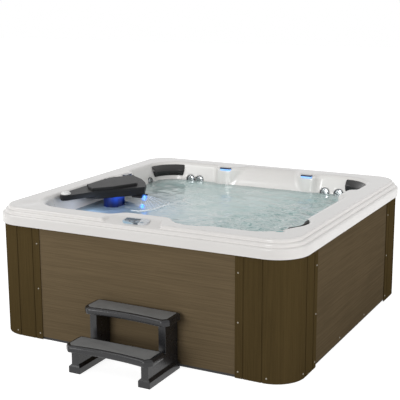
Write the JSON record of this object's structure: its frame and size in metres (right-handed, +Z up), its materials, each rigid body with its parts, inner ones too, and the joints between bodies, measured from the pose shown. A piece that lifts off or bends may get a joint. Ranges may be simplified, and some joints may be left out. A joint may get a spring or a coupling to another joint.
{
  "type": "hot tub",
  "caption": "Square outdoor hot tub: moulded white shell with seats, pillows and jets, corner filter unit, brown panelled cabinet and a loose two-tread step.",
  "frame": {"origin": "middle of the tub's footprint on the floor", "axes": "+Z up, +X to the right and -Y to the front, where the control pad and the step are"},
  "size_m": [2.16, 2.5533, 0.889],
  "materials": {
    "acrylic": "gloss white, pearl-grey tint",
    "cabinet_board": "brown wood-grain board, matt",
    "cabinet_corner": "dark brown moulded corner, matt",
    "zinc": "bright plated screw heads",
    "pan": "black ABS base pan",
    "timber": "treated softwood frame",
    "foam": "rigid insulating foam block",
    "jet_ring": "grey jet bodies",
    "jet_steel": "stainless jet faces",
    "pillow": "glossy charcoal moulded foam skin",
    "grille": "grey suction covers",
    "lens": "blue-lit clear lens",
    "dark_cap": "near-black smoked cap",
    "deck": "dark charcoal moulded deck",
    "housing": "blue-lit translucent can",
    "filter_media": "pleated filter cloth",
    "knob": "white cap",
    "display": "pale grey control bezel",
    "display_glass": "dark blue lit window",
    "button": "grey soft buttons",
    "motor": "black painted motor",
    "wet_end": "black moulded pump housing",
    "steel": "stainless heater tube",
    "box": "grey control box",
    "pipe": "white pipe",
    "valve": "black drain fitting",
    "step_plastic": "charcoal moulded step",
    "step_mat": "grey textured mat"
  },
  "bodies": {
    "tub": {"back_left_corner": "cabinet_corner", "back_panel": "cabinet_board", "back_right_corner": "cabinet_corner", "base_pan": "pan", "bottom_rails": "timber", "circulation_pump": "wet_end", "control_box": "box", "display_housing": "display", "display_window": "display_glass", "drain_valve": "valve", "filter_cartridge": "filter_media", "filter_deck": "deck", "filter_housing": "housing", "footwell_cradle": "foam", "footwell_light": "lens", "frame_posts": "timber", "front_left_corner": "cabinet_corner", "front_panel": "cabinet_board", "front_right_corner": "cabinet_corner", "heater": "steel", "jet_bodies": "jet_ring", "left_panel": "cabinet_board", "outlet_caps": "dark_cap", "outlet_lenses": "lens", "panel_screws": "zinc", "pump_motor": "motor", "pump_volute": "wet_end", "right_panel": "cabinet_board", "suction_covers": "grille", "top_rails": "timber", "tub_shell": "acrylic", "water_pipes": "pipe", "waterfall_lens": "lens", "waterfall_spout": "deck"},
    "filter_lid": {"filter_lid": "deck"},
    "weir_flap": {"weir_flap": "dark_cap"},
    "air_knob": {"air_knob": "knob"},
    "back_left_pillow": {"back_left_pillow": "pillow"},
    "back_right_pillow": {"back_right_pillow": "pillow"},
    "right_pillow": {"right_pillow": "pillow"},
    "front_pillow": {"front_pillow": "pillow"},
    "cooler_button": {"cooler_button": "button"},
    "jets_button": {"jets_button": "button"},
    "light_button": {"light_button": "button"},
    "warmer_button": {"warmer_button": "button"},
    "pump_rotor": {"pump_rotor": "wet_end"},
    "drain_cap": {"drain_cap": "valve"},
    "back_left_jet_outer": {"back_left_jet_outer": "jet_steel"},
    "back_left_jet_inner": {"back_left_jet_inner": "jet_steel"},
    "back_right_jet_inner": {"back_right_jet_inner": "jet_steel"},
    "back_right_jet_outer": {"back_right_jet_outer": "jet_steel"},
    "left_jet": {"left_jet": "jet_steel"},
    "back_seat_jet": {"back_seat_jet": "jet_steel"},
    "right_seat_jet": {"right_seat_jet": "jet_steel"},
    "step": {"step_sides": "step_plastic", "step_upper_tread": "step_plastic", "step_lower_tread": "step_plastic", "step_mats": "step_mat"}
  },
  "joints": [
    {"name": "filter_lid_hinge", "type": "hinge", "parent": "tub", "child": "filter_lid", "pos_m": [-0.853, -0.15, 0.877], "axis": [0, -1, 0], "range_deg": [0, 95]},
    {"name": "weir_flap_hinge", "type": "hinge", "parent": "tub", "child": "weir_flap", "pos_m": [-0.622, -0.207, 0.806], "axis": [0, 1, 0], "range_deg": [0, 45]},
    {"name": "air_knob_turn", "type": "hinge", "parent": "tub", "child": "air_knob", "pos_m": [-0.836, -0.56, 0.869], "axis": [0, 0, 1], "range_deg": [-90, 0]},
    {"name": "back_left_pillow_pull", "type": "slide", "parent": "tub", "child": "back_left_pillow", "axis": [0.7071, -0.7071, 0], "range_m": [0, 0.06]},
    {"name": "back_right_pillow_pull", "type": "slide", "parent": "tub", "child": "back_right_pillow", "axis": [-0.7071, -0.7071, 0], "range_m": [0, 0.06]},
    {"name": "right_pillow_pull", "type": "slide", "parent": "tub", "child": "right_pillow", "axis": [-1, 0, 0], "range_m": [0, 0.06]},
    {"name": "front_pillow_pull", "type": "slide", "parent": "tub", "child": "front_pillow", "axis": [0, 1, 0], "range_m": [0, 0.06]},
    {"name": "back_left_jet_outer_turn", "type": "hinge", "parent": "tub", "child": "back_left_jet_outer", "pos_m": [-0.621, 0.866, 0.74], "axis": [0, -1, 0], "range_deg": [0, 90]},
    {"name": "back_left_jet_inner_turn", "type": "hinge", "parent": "tub", "child": "back_left_jet_inner", "pos_m": [-0.541, 0.866, 0.74], "axis": [0, -1, 0], "range_deg": [0, 90]},
    {"name": "back_right_jet_inner_turn", "type": "hinge", "parent": "tub", "child": "back_right_jet_inner", "pos_m": [0.529, 0.866, 0.74], "axis": [0, -1, 0], "range_deg": [0, 90]},
    {"name": "back_right_jet_outer_turn", "type": "hinge", "parent": "tub", "child": "back_right_jet_outer", "pos_m": [0.639, 0.866, 0.74], "axis": [0, -1, 0], "range_deg": [0, 90]},
    {"name": "left_jet_turn", "type": "hinge", "parent": "tub", "child": "left_jet", "pos_m": [-0.866, 0.62, 0.74], "axis": [1, 0, 0], "range_deg": [0, 90]},
    {"name": "back_seat_jet_turn", "type": "hinge", "parent": "tub", "child": "back_seat_jet", "pos_m": [0.04, 0.838, 0.65], "axis": [0, -1, 0], "range_deg": [0, 90]},
    {"name": "right_seat_jet_turn", "type": "hinge", "parent": "tub", "child": "right_seat_jet", "pos_m": [0.852, 0.06, 0.65], "axis": [-1, 0, 0], "range_deg": [0, 90]},
    {"name": "cooler_button_press", "type": "slide", "parent": "tub", "child": "cooler_button", "axis": [0, 0.213, -0.9771], "range_m": [0, 0.001], "stiffness_N_per_m": 400},
    {"name": "jets_button_press", "type": "slide", "parent": "tub", "child": "jets_button", "axis": [0, 0.213, -0.9771], "range_m": [0, 0.001], "stiffness_N_per_m": 400},
    {"name": "light_button_press", "type": "slide", "parent": "tub", "child": "light_button", "axis": [0, 0.213, -0.9771], "range_m": [0, 0.001], "stiffness_N_per_m": 400},
    {"name": "warmer_button_press", "type": "slide", "parent": "tub", "child": "warmer_button", "axis": [0, 0.213, -0.9771], "range_m": [0, 0.001], "stiffness_N_per_m": 400},
    {"name": "pump_rotor_spin", "type": "hinge", "parent": "tub", "child": "pump_rotor", "pos_m": [-0.625, -0.74, 0.125], "axis": [1, 0, 0], "continuous": true},
    {"name": "drain_cap_off", "type": "slide", "parent": "tub", "child": "drain_cap", "axis": [0, 1, 0], "range_m": [0, 0.03]},
    {"name": "step_away", "type": "slide", "parent": "tub", "child": "step", "axis": [0, -1, 0], "range_m": [0, 0.5]}
  ]
}
